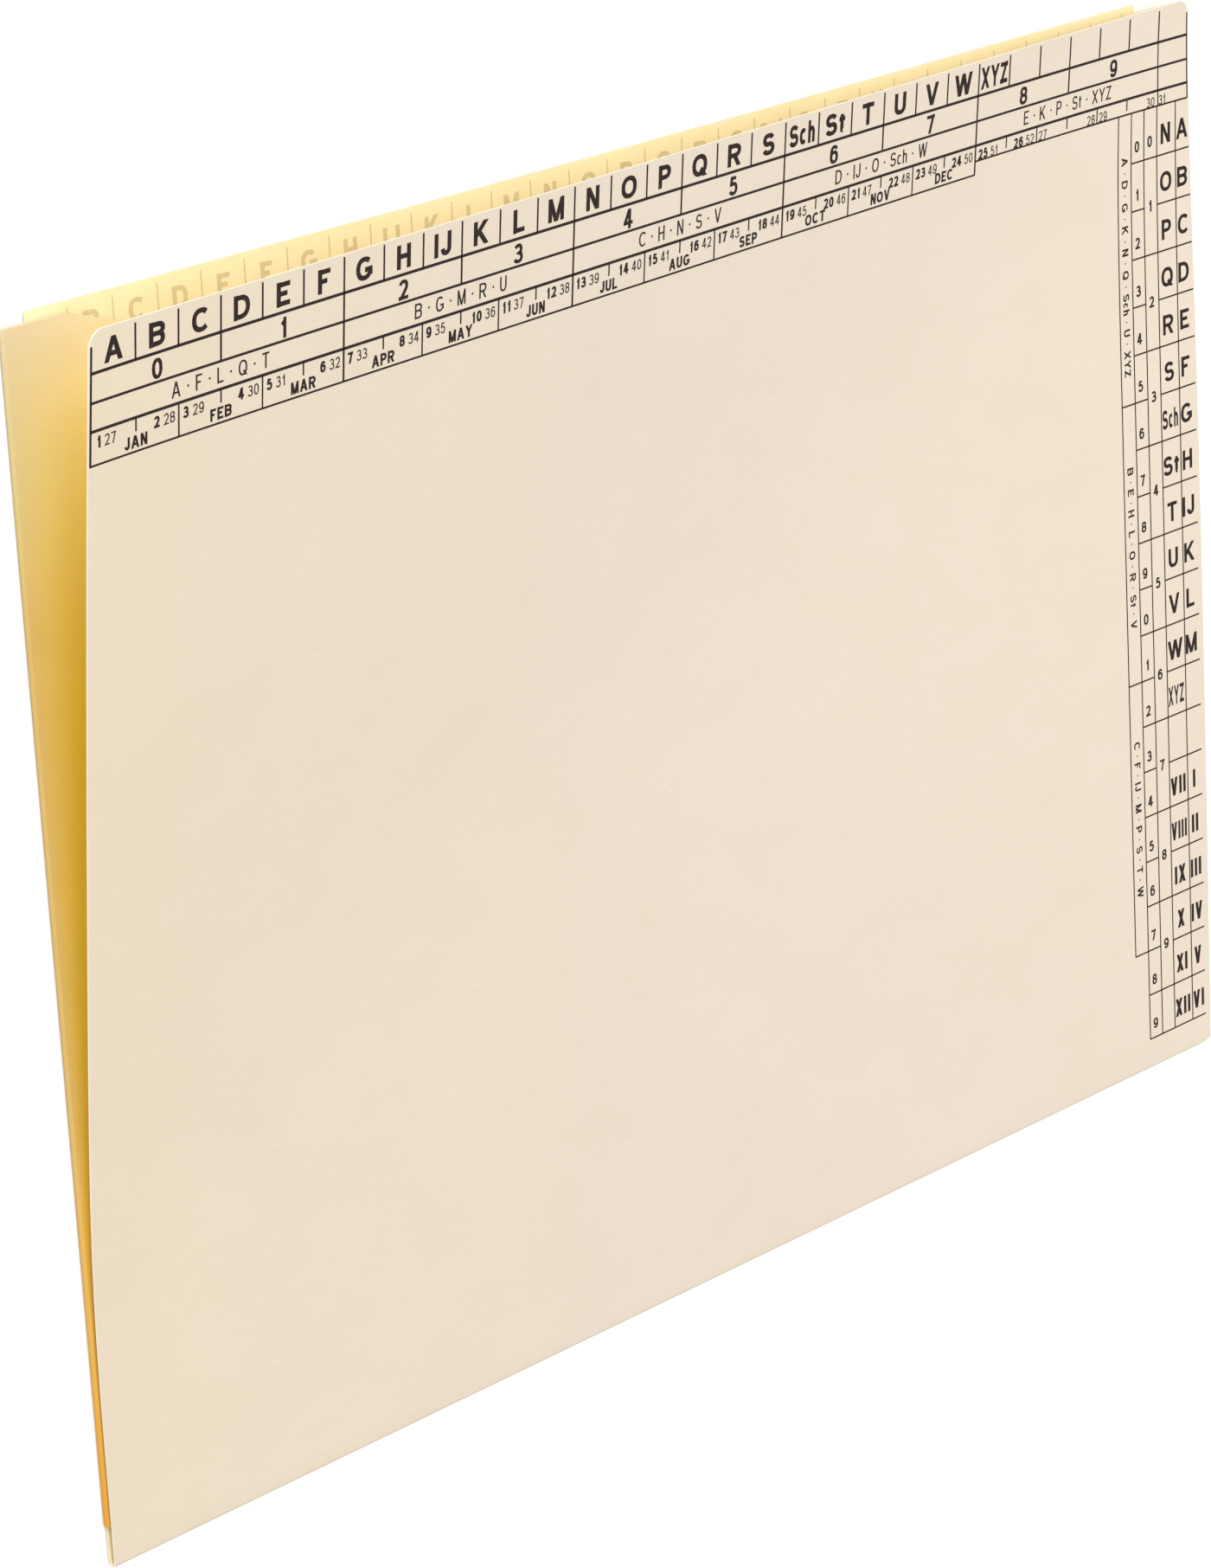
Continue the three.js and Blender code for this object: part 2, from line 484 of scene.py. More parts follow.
@dataclass(frozen=True)
class Finishes:
    """Every finish of the folder."""

    outside: CardFinish = CardFinish(
        "card_outside_painted_shade",
        light=(0.654, 0.563, 0.459),
        dark=(0.636, 0.545, 0.440),
        fleck=(0.690, 0.605, 0.505),
        # Painted shade: the outside card is darker and a little yellower towards the side fold than
        # at its right.
        across_leaf=(
            (-0.158, (0.930, 0.920, 0.865)),
            (-0.030, (0.930, 0.943, 0.935)),
            (0.150, (1.0, 1.0, 1.0)),
        ),
    )
    inside: CardFinish = CardFinish(
        "card_inside", light=(0.89, 0.77, 0.465), dark=(0.86, 0.73, 0.425), fleck=(0.92, 0.82, 0.56)
    )
    cut_edge: CardFinish = CardFinish(
        "card_cut_edge", light=(0.72, 0.65, 0.54), dark=(0.68, 0.60, 0.49), fleck=(0.76, 0.70, 0.60)
    )
    # The flap is near-white card whose colour is painted light: the bounced yellow light and shade
    # in the wedge under the front leaf, deeper and darker towards the bottom fold.
    flap: CardFinish = CardFinish(
        "card_flap_painted_light",
        light=(1.0, 1.0, 0.98),
        dark=(0.97, 0.95, 0.89),
        fleck=(1.0, 1.0, 1.0),
        up_leaf=(
            (-0.1060, (0.70, 0.40, 0.050)),
            (-0.0839, (0.80, 0.43, 0.040)),
            (-0.0512, (1.00, 0.62, 0.040)),
            (-0.0185, (1.00, 0.68, 0.030)),
            (0.0142, (1.00, 0.69, 0.028)),
            (0.0436, (1.00, 0.70, 0.050)),
            (0.0718, (1.00, 0.74, 0.140)),
            (0.0908, (0.98, 0.77, 0.270)),
            (0.1120, (0.82, 0.68, 0.440)),
        ),
        # Painted shade on the strip of flap beside the side fold.
        rim=(
            (-0.106, (0.60, 0.28, 0.025)),
            (-0.070, (0.58, 0.33, 0.065)),
            (-0.030, (0.54, 0.36, 0.125)),
            (0.060, (0.54, 0.37, 0.125)),
            (0.085, (0.55, 0.44, 0.200)),
            (0.112, (0.59, 0.48, 0.300)),
        ),
    )
    ink: InkFinish = InkFinish("register_ink", (0.018, 0.010, 0.009), (0.050, 0.034, 0.028))
    faint_ink: InkFinish = InkFinish("inside_ink", (0.66, 0.53, 0.29), (0.75, 0.62, 0.35))


# ---- the sheet


class CardFace(Enum):
    """Material slots of the sheet."""

    OUTSIDE = 0
    INSIDE = 1
    CUT_EDGE = 2
    FLAP = 3


@dataclass
class FolderSheet:
    """The folded sheet: front leaf, bottom fold, back leaf with tab, side fold and flap.

    The whole numbers say how finely it is divided.
    """

    size: SheetSize
    surface: LeafSurface
    front_rows: int = 76
    back_rows: int = 24
    columns: int = 96
    flap_columns: int = 18
    fold_steps: int = 14
    corner_steps: int = 10
    middle: list[np.ndarray] = field(default_factory=list)
    normals: list[np.ndarray] = field(default_factory=list)
    cells: list[tuple[Face, CardFace]] = field(default_factory=list)

    @property
    def half_turn(self) -> np.ndarray:
        """Angles of a fold between its two ends."""
        return np.linspace(0, math.pi, self.fold_steps + 1)[1:-1]

    @property
    def corner(self) -> np.ndarray:
        """Angles of a round corner, from its top end."""
        return np.linspace(math.pi / 2, 0, self.corner_steps + 1)

    def _nodes(self, points: np.ndarray, outward: Sequence[float] | np.ndarray) -> list[int]:
        """Adds a row of nodes and returns their numbers."""
        start = len(self.middle)
        self.middle.extend(points)
        self.normals.extend(np.broadcast_to(outward, points.shape))
        return list(range(start, start + len(points)))

    def _join(self, lower: Sequence[int], upper: Sequence[int], face: CardFace) -> None:
        """Joins two rows of nodes with cells whose outer side carries face."""
        for i in range(1, len(upper)):
            self.cells.append(((lower[i - 1], upper[i - 1], upper[i], lower[i]), face))

    def _lay_leaves(self) -> None:
        """Lays the front leaf, the bottom fold and the back leaf, then its tab and its flap."""
        z, surface = self.size, self.surface
        tab = np.linspace(z.tab_left, z.tab_right, self.columns + 1)
        columns = np.concatenate([[z.back_left], tab, [z.back_width]])
        share = (columns - z.back_left) / (z.back_width - z.back_left)
        corner, foot = z.front_corner, z.front_height - z.front_corner
        rows = [(foot + corner * math.sin(a), corner * (1 - math.cos(a))) for a in self.corner]
        rows += [(s, 0.0) for s in np.linspace(foot, 0.0, self.front_rows + 1)[1:]]
        grid = []
        for s, inset in rows:
            left, right = z.front_left_at(s) + inset, z.front_right_at(s) - inset
            x = left + share * (right - left)
            middle = surface.front(x, s, 0.0)
            grid.append(self._nodes(middle, surface.front(x, s, 1.0) - middle))
        front_x = z.front_inset + share * (z.front_right - z.front_inset)
        for turn in self.half_turn:
            outward = np.array([0.0, -math.sin(turn), math.cos(turn)])
            x = front_x + (columns - front_x) * turn / math.pi
            centre = joined(x, 0.0, z.back_z + z.fold_radius)
            grid.append(self._nodes(centre + outward * z.fold_radius, outward))
        flap_rows = np.linspace(z.flap_bottom, z.shoulder, self.back_rows + 1)
        for y in (0.0, *flap_rows):
            grid.append(self._nodes(surface.back(columns, y, 0.0), DOWN))
        for lower, upper in zip(grid, grid[1:]):
            self._join(lower, upper, CardFace.OUTSIDE)
        self._lay_tab(grid[-1][1:-1], tab)
        self._lay_flap([row[0] for row in grid[-len(flap_rows) :]], flap_rows)

    def _lay_tab(self, lower: Sequence[int], columns: np.ndarray) -> None:
        """Lays the tab on the back leaf's top row of nodes."""
        z = self.size
        width = z.tab_right - z.tab_left
        share = (columns - z.tab_left) / width
        for a in self.corner[::-1]:
            inset = z.tab_corner * (1 - math.cos(a))
            y = z.back_height - z.tab_corner * (1 - math.sin(a))
            x = z.tab_left + inset + share * (width - 2 * inset)
            upper = self._nodes(self.surface.back(x, y, 0.0), DOWN)
            self._join(lower, upper, CardFace.OUTSIDE)
            lower = upper

    def _lay_flap(self, edge: Sequence[int], rows: np.ndarray) -> None:
        """Lays the side fold and the flap from the nodes of the back leaf's left edge."""
        z = self.size
        lines = []
        for turn in self.half_turn:
            outward = np.array([-math.sin(turn), 0.0, -math.cos(turn)])
            centre = joined(z.back_left, rows, z.back_z + z.flap_radius)
            lines.append((centre + outward * z.flap_radius, outward))
        corner = z.flap_width - z.flap_corner
        plain = np.linspace(z.back_left, corner, self.flap_columns + 1)
        share = (rows - z.flap_bottom) / (z.shoulder - z.flap_bottom)
        for x in (*plain, *(corner + z.flap_corner * np.cos(self.corner[1:]))):
            past = max(0.0, x - corner)
            inset = max(0.0, x - z.flap_straight) * z.flap_taper
            inset += z.flap_corner - math.sqrt(max(0.0, z.flap_corner**2 - past**2))
            low, high = z.flap_bottom + inset, z.shoulder - inset
            lines.append((joined(x, low + share * (high - low), z.flap_z), UP))
        previous = edge
        for points, outward in lines:
            current = self._nodes(points, outward)
            self._join(previous, current, CardFace.FLAP)
            previous = current

    def build(self, finishes: Finishes) -> bpy.types.Object:
        """Builds the closed sheet and dresses its two sides and its cut edges."""
        self._lay_leaves()
        middle, normals = np.array(self.middle), np.array(self.normals)
        half, count = self.size.card / 2, len(middle)
        points = np.concatenate([middle + normals * half, middle - normals * half])
        faces: list[Face] = []
        slots: list[int] = []
        border: dict[tuple[int, int], None] = {}
        for cell, face in self.cells:
            faces += [cell, tuple(count + i for i in reversed(cell))]
            slots += [face.value, CardFace.INSIDE.value]
            for a, b in zip(cell, cell[1:] + cell[:1]):
                if (b, a) in border:
                    del border[(b, a)]
                else:
                    border[(a, b)] = None
        faces += [(b, a, count + a, count + b) for a, b in border]
        slots += [CardFace.CUT_EDGE.value] * len(border)
        sheet = mesh_object("sheet", self.surface.to_row(points), faces)
        for finish in (finishes.outside, finishes.inside, finishes.cut_edge, finishes.flap):
            sheet.data.materials.append(finish.build())
        sheet.data.polygons.foreach_set("material_index", slots)
        smooth = [slot != CardFace.CUT_EDGE.value for slot in slots]
        sheet.data.polygons.foreach_set("use_smooth", smooth)
        edges = {tuple(sorted(pair)) for pair in border}
        edges |= {(count + a, count + b) for a, b in edges}
        for edge in sheet.data.edges:
            if tuple(sorted(edge.vertices)) in edges:
                edge.use_edge_sharp = True
        return sheet


# ---- print


class Weight(Enum):
    """Stroke widths of the print, as a share of the cap height."""

    LIGHT = 0.14
    MEDIUM = 0.205
    BOLD = 0.235


@dataclass(frozen=True)
class Lettering:
    """One style of lettering.

    Attributes:
        cap: height of a capital, in millimetres.
        narrow: width of the letters as a share of their drawn width.
        weight: stroke width.
        gap: space between characters, as a share of the cap height.
    """

    cap: float
    narrow: float
    weight: Weight
    gap: float = 0.14


Arc = tuple[float, float, float, float, float, float]
Stroke = tuple[Point2 | Arc, ...]


def bowl(y: float, ry: float, x: float = 0.45) -> Stroke:
    """A bow to the right from the stem and back, about height y."""
    return (0, y + ry), (x, y, 1 - x, ry, 90, -90), (0, y - ry)


def ring(y: float = 0.5, ry: float = 0.5, rx: float = 0.5) -> Stroke:
    """A closed oval about the middle of the character."""
    return ((0.5, y, rx, ry, 0, 360),)


LEFT_STEM: Stroke = ((0, 0), (0, 1))
RIGHT_STEM: Stroke = ((1, 0), (1, 1))
MID_STEM: Stroke = ((0.5, 0), (0.5, 1))
TOP_BAR: Stroke = ((0, 1), (1, 1))
FOOT_BAR: Stroke = ((0, 0), (1, 0))
ZIGZAG = ((0, 0.25), (0.5, 0.25), (0.5, 0.75), (1, 0.75))

# Width in cap heights and the strokes of each character. Points lie in a unit square that is laid
# on the strokes' middle lines. An arc is centre x and y, radius x and y, and two angles. The
# zigzag's pairs are x at the top and x at the foot.
CHARACTERS: dict[str, tuple[float, tuple[Stroke, ...]]] = {
    "A": (0.95, (((0, 0), (0.5, 1)), ((1, 0), (0.5, 1)), ((0.15, 0.27), (0.85, 0.27)))),
    "B": (0.84, (LEFT_STEM, bowl(0.765, 0.235, 0.52), bowl(0.265, 0.265, 0.55))),
    "C": (0.96, (((0.5, 0.5, 0.5, 0.5, 42, 318),),)),
    "D": (0.88, (LEFT_STEM, bowl(0.5, 0.5, 0.38))),
    "E": (0.74, (LEFT_STEM, TOP_BAR, FOOT_BAR, ((0, 0.52), (0.94, 0.52)))),
    "F": (0.69, (LEFT_STEM, TOP_BAR, ((0, 0.50), (0.88, 0.50)))),
    "G": (0.93, (((0.5, 0.5, 0.5, 0.5, 42, 335),), ((0.55, 0.42), (1, 0.42), (1, 0.1)))),
    "H": (0.80, (LEFT_STEM, RIGHT_STEM, ((0, 0.53), (1, 0.53)))),
    "I": (0.00, (MID_STEM,)),
    "J": (0.62, (((1, 1), (0.5, 0.30, 0.5, 0.30, 0, -175)),)),
    "K": (0.86, (LEFT_STEM, ((0.96, 1), (0, 0.32)), ((1, 0), (0.34, 0.58)))),
    "L": (0.68, (LEFT_STEM, FOOT_BAR)),
    "M": (0.96, (LEFT_STEM, RIGHT_STEM, ((0, 1), (0.5, 0)), ((1, 1), (0.5, 0)))),
    "N": (0.80, (LEFT_STEM, RIGHT_STEM, ((0, 1), (1, 0)))),
    "O": (0.96, (ring(),)),
    "P": (0.78, (LEFT_STEM, bowl(0.72, 0.28, 0.52))),
    "Q": (0.96, (ring(), ((0.58, 0.30), (0.98, 0)))),
    "R": (0.86, (LEFT_STEM, bowl(0.73, 0.27, 0.50), ((0.52, 0.46), (0.98, 0)))),
    "S": (0.80, (((0.5, 0.745, 0.46, 0.255, 18, 262), (0.5, 0.26, 0.5, 0.26, 82, -164)),)),
    "T": (0.80, (TOP_BAR, MID_STEM)),
    "U": (0.80, (((0, 1), (0.5, 0.36, 0.5, 0.36, 180, 360), (1, 1)),)),
    "V": (0.90, (((0, 1), (0.5, 0)), ((1, 1), (0.5, 0)))),
    "W": (1.26, tuple(((x, 1), (y, 0)) for x, y in ZIGZAG)),
    "X": (0.88, (((0, 1), (1, 0)), ((0, 0), (1, 1)))),
    "Y": (0.90, (((0, 1), (0.5, 0.42)), ((1, 1), (0.5, 0.42)), ((0.5, 0), (0.5, 0.46)))),
    "Z": (0.78, (TOP_BAR, FOOT_BAR, ((0.97, 1), (0.03, 0)))),
    "c": (0.62, (((0.5, 0.34, 0.5, 0.34, 45, 315),),)),
    "h": (0.60, (LEFT_STEM, ((0, 0.34), (0.5, 0.40, 0.5, 0.28, 160, 0), (1, 0)))),
    "t": (
        0.40,
        (((0.42, 0.95), (0.42, 0.2), (0.72, 0.14, 0.3, 0.14, 200, 285)), ((0, 0.68), (1, 0.68))),
    ),
    "0": (0.68, (ring(),)),
    "1": (0.50, (((0.72, 0), (0.72, 1)), ((0.05, 0.70), (0.72, 0.93)))),
    "2": (0.68, (((0.5, 0.72, 0.47, 0.28, 168, -28), (0.04, 0)), FOOT_BAR)),
    "3": (0.68, (((0.48, 0.76, 0.42, 0.24, 162, -85), (0.48, 0.26, 0.52, 0.26, 85, -164)),)),
    "4": (0.70, (((0.72, 0), (0.72, 1)), ((0.66, 1), (0.02, 0.26)), ((0, 0.24), (1, 0.24)))),
    "5": (
        0.68,
        (((0.22, 1), (0.94, 1)), ((0.24, 1), (0.1, 0.5)), ((0.48, 0.32, 0.52, 0.32, 142, -160),)),
    ),
    "6": (0.68, (ring(0.32, 0.32), ((0.52, 0.55, 0.52, 0.45, 35, 180), (0, 0.32)))),
    "7": (0.68, (TOP_BAR, ((0.96, 1), (0.34, 0)))),
    "8": (0.68, (ring(0.76, 0.24, 0.44), ring(0.265, 0.265))),
    "9": (0.68, (ring(0.68, 0.32), ((0.48, 0.45, 0.52, 0.45, 215, 360), (1, 0.68)))),
}


def strip(left: np.ndarray, right: np.ndarray, low: float, high: float, closed: bool = False):
    """Makes a flat closed body between two lines of points.

    Args:
        left: (n, 2) points on the left of the way along the strip.
        right: (n, 2) points on its right.
        low: lower height.
        high: upper height.
        closed: whether the strip runs back into its start.

    Returns:
        Points as an (n, 3) array, and faces.
    """
    count = len(left)
    rows = np.empty((count, 4, 3))
    rows[:, 0, :2] = rows[:, 3, :2] = left
    rows[:, 1, :2] = rows[:, 2, :2] = right
    rows[:, :2, 2] = low
    rows[:, 2:, 2] = high
    faces: list[Face] = []
    for k in range(count if closed else count - 1):
        a, b = 4 * k, 4 * ((k + 1) % count)
        faces += [(a + 3, a + 2, b + 2, b + 3), (b, b + 1, a + 1, a)]
        faces += [(a + 3, b + 3, b, a), (a + 1, b + 1, b + 2, a + 2)]
    if not closed:
        end = 4 * (count - 1)
        faces += [(0, 1, 2, 3), (end + 3, end + 2, end + 1, end)]
    return rows.reshape(-1, 3), faces


@dataclass
class GlyphCase:
    """Draws the characters from strokes of even width, and keeps each text it has drawn.

    Attributes:
        thickness: how thick the ink lies, in millimetres.
        layer: how much higher each further stroke lies, so that no two tops share a plane.
        squareness: exponent below 1 that makes the bows squarer than an ellipse.
        arc_step: turn of one piece of a bow, in degrees.
        level_share: width of level strokes as a share of upright ones.
        slack: lengths below this count as none.
    """

    thickness: float
    layer: float = 0.0008
    squareness: float = 0.88
    arc_step: float = 15.0
    level_share: float = 0.86
    slack: float = 1e-6
    cache: dict = field(default_factory=dict)

    def _line(self, stroke: Stroke) -> np.ndarray:
        """Turns a stroke's points and arcs into one line of points."""
        line: list[Point2] = []
        for item in stroke:
            if len(item) == 2:
                line.append(item)
                continue
            x, y, rx, ry, start, end = item
            pieces = max(2, round(abs(end - start) / self.arc_step))
            for turn in np.radians(np.linspace(start, end, pieces + 1)):
                way = np.array([math.cos(turn), math.sin(turn)])
                way[np.abs(way) < self.slack] = 0.0
                bow = np.sign(way) * np.abs(way) ** self.squareness
                line.append((x + rx * bow[0], y + ry * bow[1]))
        return np.array(line, float)

    def _sides(self, line: np.ndarray, ink: float, closed: bool) -> tuple[np.ndarray, np.ndarray]:
        """Offsets a line to both sides by half the stroke's width."""
        if closed:
            before, after = np.roll(line, 1, axis=0), np.roll(line, -1, axis=0)
        else:
            before, after = np.vstack([line[:1], line[:-1]]), np.vstack([line[1:], line[-1:]])
        ways = (line - before, after - line)
        sizes = [np.linalg.norm(way, axis=1, keepdims=True) for way in ways]
        units = [way / np.maximum(size, self.slack) for way, size in zip(ways, sizes)]
        first = np.where(sizes[0] > 0, units[0], units[1])
        along = first + np.where(sizes[1] > 0, units[1], first)
        along /= np.linalg.norm(along, axis=1, keepdims=True)
        mitre = 1 / np.maximum(0.5, (along * first).sum(axis=1, keepdims=True))
        share = self.level_share + (1 - self.level_share) * np.abs(along[:, 1:])
        offset = np.stack([-along[:, 1], along[:, 0]], axis=1) * (ink / 2) * share * mitre
        return line + offset, line - offset

    @staticmethod
    def _way_out(line: np.ndarray, end: int) -> np.ndarray:
        """The way along which a line runs out at its end 0 or -1."""
        return line[end] - line[1 if end == 0 else -2]

    def _run_out(self, line: np.ndarray, end: int, box: Point2, ink: float) -> int | None:
        """Moves end 0 or -1 of a line out to the edge of its box.

        Args:
            line: the stroke's points, changed in place.
            end: which end.
            box: width and height of the character.
            ink: width of the stroke.

        Returns:
            The axis across which it is cut, or None where it ends inside the box.
        """
        way = self._way_out(line, end)
        for axis in (1, 0):
            if abs(way[axis]) < self.slack or (axis == 0 and abs(way[1]) > self.slack):
                continue
            edge = 0.0 if way[axis] < 0 else box[axis]
            if abs(abs(line[end][axis] - edge) - ink / 2) < self.slack:
                line[end][axis] = edge
                return axis
        return None

    def _character(self, sign: str, style: Lettering) -> tuple[MeshParts, float]:
        """Draws one character and returns it with its width."""
        ratio, strokes = CHARACTERS[sign]
        ink = style.cap * style.weight.value
        box = (max(ink, ratio * style.cap * style.narrow), style.cap)
        parts = MeshParts()
        for index, stroke in enumerate(strokes):
            line = ink / 2 + self._line(stroke) * (np.array(box) - ink)
            closed = bool(np.linalg.norm(line[0] - line[-1]) < self.slack)
            ends = () if closed else (0, -1)
            line = line[:-1] if closed else line
            cuts = [self._run_out(line, end, box, ink) for end in ends]
            sides = self._sides(line, ink, closed)
            for end, axis in zip(ends, cuts):
                if axis is None:
                    continue
                way = self._way_out(line, end)
                for side in sides:
                    side[end] = side[end] + way * (line[end][axis] - side[end][axis]) / way[axis]
            parts.add(*strip(*sides, 0.0, self.thickness + index * self.layer, closed))
        return parts, box[0]

    def text(self, text: str, style: Lettering) -> tuple[np.ndarray, list[Face]]:
        """Returns points (x, s, h) of a text whose left end is x 0 and whose baseline is s 0."""
        key = (text, style)
        if key not in self.cache:
            whole, x = MeshParts(), 0.0
            for sign in text:
                parts, width = self._character(sign, style)
                whole.add(*parts.mapped(lambda p: p + np.array([x, 0.0, 0.0])))
                x += width + style.gap * style.cap
            self.cache[key] = whole.mapped(lambda p: p)
        return self.cache[key]

    def width(self, text: str, style: Lettering) -> float:
        """How wide a text is."""
        return float(self.text(text, style)[0][:, 0].max())


class Align(Enum):
    """Which point of a text is put at its place."""

    LEFT = 0.0
    CENTRE = 0.5
    RIGHT = 1.0


@dataclass
class Print:
    """A flat print on one leaf, in leaf millimetres, as thin closed bodies of ink.

    Attributes:
        glyphs: what draws its letters.
        ink: its material.
        parts: what is printed so far.
        sink: how deep the ink reaches into the card, so that no gap shows under it.
        step: longest piece of a rule, so that rules follow a bent leaf.
    """

    glyphs: GlyphCase
    ink: bpy.types.Material
    parts: MeshParts = field(default_factory=MeshParts)
    sink: float = 0.006
    step: float = 5.0

    def rule(self, start: Point2, end: Point2, width: float) -> None:
        """Adds a straight rule as a thin strip in short pieces."""
        a, b = np.array(start), np.array(end)
        length = float(np.linalg.norm(b - a))
        count = max(1, math.ceil(length / self.step))
        side = np.array([-(b - a)[1], (b - a)[0]]) / length * width / 2
        middle = np.linspace(a, b, count + 1)
        self.parts.add(*strip(middle + side, middle - side, 0.0, self.glyphs.thickness))

    def bars(self, bars: "BarRow") -> None:
        """Adds a row of equal upright bars."""
        self.parts.add(*bars.mesh(self.glyphs.thickness, self.ink))

    def write(
        self,
        text: str,
        place: Point2,
        style: Lettering,
        align: Align = Align.CENTRE,
        turned: bool = False,
        fit: float = math.inf,
    ) -> float:
        """Writes a text.

        Args:
            text: what is written.
            place: x of the aligned point and s of the baseline.
            style: its lettering.
            align: which point of the text is at its place.
            turned: whether it reads down the leaf, with its middle line at x.
            fit: width to squeeze it to if it is wider, in millimetres.

        Returns:
            The text's width.
        """
        points, faces = self.glyphs.text(text, style)
        points = points.copy()
        width = self.glyphs.width(text, style)
        if width > fit:
            points[:, 0] *= fit / width
            width = fit
        points[:, 0] -= width * align.value
        if turned:
            points[:, 1] -= style.cap / 2
            points[:, [0, 1]] = np.stack([points[:, 1], -points[:, 0]], axis=-1)
        points[:, :2] += place
        self.parts.add(points, faces)
        return width

    def dotted(
        self,
        letters: Sequence[str],
        style: Lettering,
        place: Callable[[float], Point2],
        spacing: Point2,
        turned: bool = False,
    ) -> None:
        """Writes letters in a line, with square points between them.

        Args:
            letters: what is written.
            style: their lettering.
            place: gives the place at a distance along the line, which is 0 at its middle.
            spacing: gap between two letters, and the side of the point in it.
            turned: whether the line reads down the leaf.
        """
        gap, side = spacing
        widths = [self.glyphs.width(text, style) for text in letters]
        at = -(sum(widths) + gap * (len(letters) - 1)) / 2
        for index, (text, width) in enumerate(zip(letters, widths)):
            if index:
                x, s = place(at)
                x, s = (x, s - gap / 2) if turned else (x + gap / 2, s + style.cap / 2)
                self.rule((x - side / 2, s), (x + side / 2, s), side)
                at += gap
            self.write(text, place(at), style, Align.LEFT, turned)
            at += width

    def build(self, name: str, place: Callable, rise: float) -> bpy.types.Object:
        """Lays the print on its leaf.

        Args:
            name: the piece's name.
            place: turns x, s and height on the leaf into points of the row frame.
            rise: height of the card's face over its middle surface.

        Returns:
            The finished piece of ink.
        """

        def laid(points: np.ndarray) -> np.ndarray:
            return place(points[:, 0], points[:, 1], points[:, 2] + rise - self.sink)

        ink = mesh_object(name, *self.parts.mapped(laid))
        ink.data.materials.append(self.ink)
        return ink


# The node group's inputs and their types.
BAR_INPUTS = {
    "Count": "Int",
    "Pitch": "Float",
    "Width": "Float",
    "Length": "Float",
    "Thickness": "Float",
    "Ink": "Material",
}


@dataclass(frozen=True)
class BarRow:
    """Equal bars at an even pitch, made by a node group.

    Attributes:
        first: x of the first bar's centre line.
        low: s of the bars' lower ends.
        high: s of their upper ends.
        count: how many bars.
        pitch: distance between centre lines.
        width: width of a bar.
    """

    first: float
    low: float
    high: float
    count: int
    pitch: float
    width: float

    def mesh(self, thickness: float, ink: bpy.types.Material) -> tuple[np.ndarray, list[Face]]:
        """Evaluates the node group and returns points (x, s, h) and faces."""
        tree = bar_row_nodes()
        seed = bpy.data.meshes.new("bar_row")
        holder = linked("bar_row", seed)
        modifier = holder.modifiers.new("bars", "NODES")
        modifier.node_group = tree
        length = self.high - self.low
        values = (self.count, self.pitch, self.width, length, thickness, ink)
        inputs = {item.name: item.identifier for item in tree.interface.items_tree}
        for label, value in zip(BAR_INPUTS, values):
            modifier[inputs[label]] = value
        bpy.context.view_layer.update()
        evaluated = holder.evaluated_get(bpy.context.evaluated_depsgraph_get())
        mesh = bpy.data.meshes.new_from_object(evaluated)
        points = np.empty(len(mesh.vertices) * 3)
        mesh.vertices.foreach_get("co", points)
        faces = [tuple(p.vertices) for p in mesh.polygons]
        bpy.data.meshes.remove(mesh)
        bpy.data.objects.remove(holder)
        bpy.data.meshes.remove(seed)
        middle = np.array([self.first, (self.low + self.high) / 2, thickness / 2])
        return points.reshape(-1, 3) + middle, faces


def bar_row_nodes() -> bpy.types.NodeTree:
    """The node group that sets equal bars along a line. It is made once."""
    name = "Register bars"
    if name in bpy.data.node_groups:
        return bpy.data.node_groups[name]
    tree = bpy.data.node_groups.new(name, "GeometryNodeTree")
    tree.interface.new_socket("Geometry", in_out="OUTPUT", socket_type="NodeSocketGeometry")
    for label, kind in BAR_INPUTS.items():
        tree.interface.new_socket(label, in_out="INPUT", socket_type=f"NodeSocket{kind}")
    graph = Graph(tree)
    given = tree.nodes.new("NodeGroupInput").outputs
    offset = graph.add("ShaderNodeCombineXYZ", {"X": given["Pitch"]})
    line = graph.add("GeometryNodeMeshLine", {"Count": given["Count"], "Offset": offset})
    sides = {"X": given["Width"], "Y": given["Length"], "Z": given["Thickness"]}
    bar = graph.add("GeometryNodeMeshCube", {"Size": graph.add("ShaderNodeCombineXYZ", sides)})
    bars = graph.add("GeometryNodeInstanceOnPoints", {"Points": line, "Instance": bar})
    bars = graph.add("GeometryNodeRealizeInstances", {"Geometry": bars})
    bars = graph.add("GeometryNodeSetMaterial", {"Geometry": bars, "Material": given["Ink"]})
    graph.feed(tree.nodes.new("NodeGroupOutput"), {"Geometry": bars})
    return tree


# ---- registers


LETTERS = "A B C D E F G H IJ K L M N O P Q R S Sch St T U V W XYZ".split()
# Widths in millimetres to which the widest cells' letters are squeezed.
SQUEEZED = {"Sch": 7.6, "XYZ": 8.5}
MONTHS = "JAN FEB MAR APR MAY JUN JUL AUG SEP OCT NOV DEC".split()
GROUPS = ("A F L Q T", "B G M R U", "C H N S V", "D IJ O Sch W", "E K P St XYZ")
BANDS = ("A D G K N Q Sch U XYZ", "B E H L O R St V", "C F IJ M P S T W")
ROMANS = "I II III IV V VI VII VIII IX X XI XII".split()


